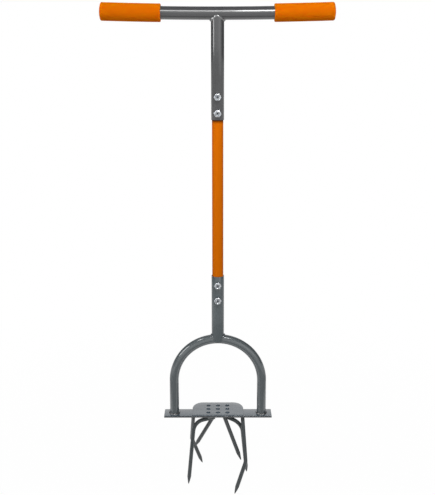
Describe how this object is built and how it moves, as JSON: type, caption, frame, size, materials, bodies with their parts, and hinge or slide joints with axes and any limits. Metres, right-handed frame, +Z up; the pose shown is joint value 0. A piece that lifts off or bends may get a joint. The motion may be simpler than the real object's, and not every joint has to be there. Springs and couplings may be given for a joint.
{
  "type": "claw cultivator",
  "caption": "Upright twist tiller with a T handle, a bolted tube stem, an arched foot stirrup with a tread plate, and a claw of curved steel tines.",
  "frame": {"origin": "on the stem's axis, level with the tips of the four long tines, on which the tool stands", "axes": "+Z up the stem, +X along the handlebar, -Y to the side that the nuts face"},
  "size_m": [0.4488, 0.1166, 0.9847],
  "materials": {
    "grey_paint": "semi-gloss metallic grey powder coat",
    "orange_paint": "satin orange powder coat",
    "orange_foam": "matte closed-cell foam",
    "bright_zinc": "bright zinc plate"
  },
  "bodies": {
    "root": {"handlebar_tube": "grey_paint", "grip_left": "orange_foam", "grip_right": "orange_foam", "handle_weld": "grey_paint", "upper_stem_tube": "grey_paint", "centre_tube": "orange_paint", "lower_stem_tube": "grey_paint", "upper_bolt_1": "bright_zinc", "upper_bolt_2": "bright_zinc", "lower_bolt_1": "bright_zinc", "lower_bolt_2": "bright_zinc", "upper_nut_1": "bright_zinc", "upper_nut_2": "bright_zinc", "lower_nut_1": "bright_zinc", "lower_nut_2": "bright_zinc", "stirrup_tube": "grey_paint", "crown_weld_left": "grey_paint", "crown_weld_right": "grey_paint", "leg_weld_left": "grey_paint", "leg_weld_right": "grey_paint", "foot_bar": "grey_paint", "tread_plate": "grey_paint", "arched_tine_left": "grey_paint", "arched_tine_right": "grey_paint", "kinked_tine_left": "grey_paint", "kinked_tine_right": "grey_paint", "short_tine_left": "grey_paint", "short_tine_right": "grey_paint", "arched_weld_left": "grey_paint", "arched_weld_right": "grey_paint", "kinked_weld_left": "grey_paint", "kinked_weld_right": "grey_paint", "short_weld_left": "grey_paint", "short_weld_right": "grey_paint"}
  },
  "joints": []
}
